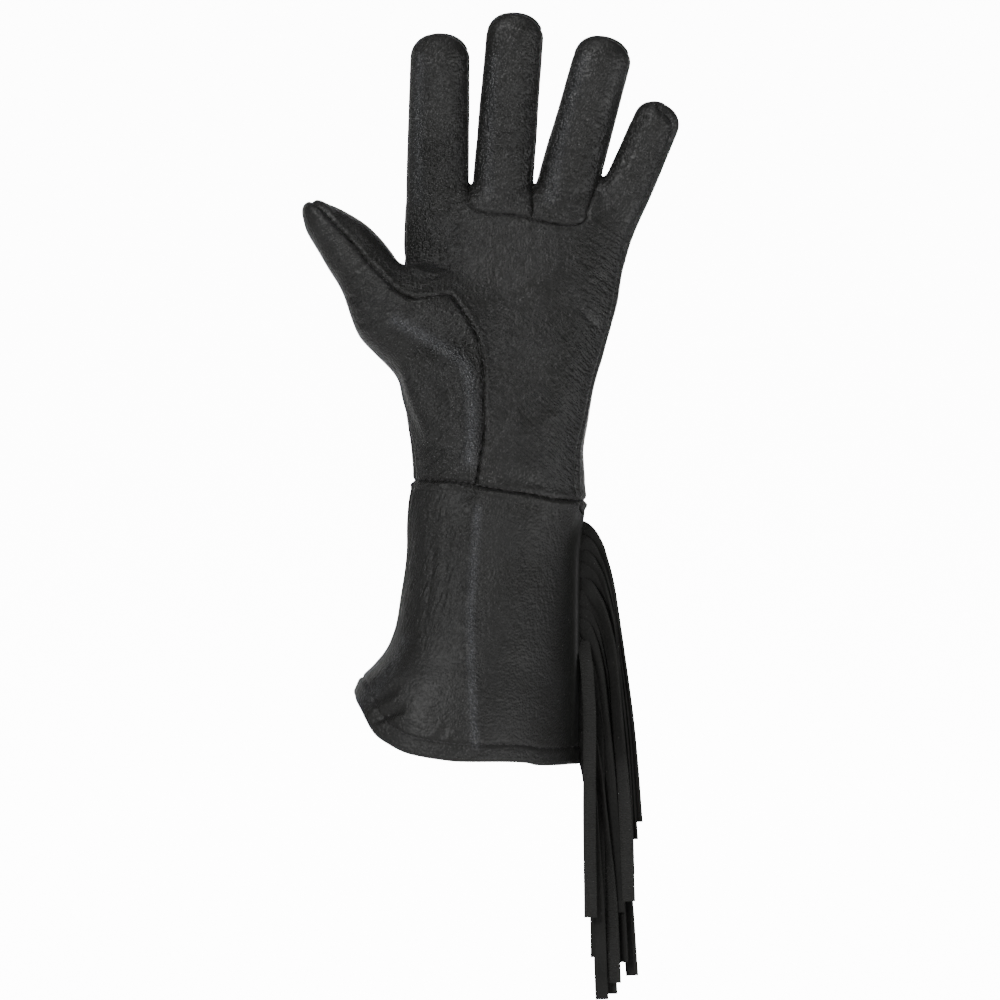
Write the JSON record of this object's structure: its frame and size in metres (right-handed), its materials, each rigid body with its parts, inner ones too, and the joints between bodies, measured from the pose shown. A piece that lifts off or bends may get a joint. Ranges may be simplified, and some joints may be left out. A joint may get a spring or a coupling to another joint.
{
  "type": "fringed gauntlet glove",
  "caption": "Black leather gauntlet glove for the left hand, with a flared cuff and a long cut fringe sewn into the outer side seam.",
  "frame": {"origin": "middle of the wrist opening, level with the wrist seam", "axes": "+X towards the little finger and the fringe, +Y towards the back of the hand, +Z towards the fingertips"},
  "size_m": [0.1652, 0.0948, 0.434],
  "materials": {
    "glove_leather": "grained black leather, slightly waxed",
    "fringe_leather": "matt black leather, cut strips"
  },
  "bodies": {
    "root": {"palm_panel": "glove_leather", "middle_front": "glove_leather", "ring_front": "glove_leather", "thumb_panel": "glove_leather", "back_panel": "glove_leather", "fork_index_middle": "glove_leather", "fork_middle_ring": "glove_leather", "fork_ring_little": "glove_leather", "cuff_front": "glove_leather", "cuff_back": "glove_leather", "fringe": "fringe_leather"}
  },
  "joints": []
}
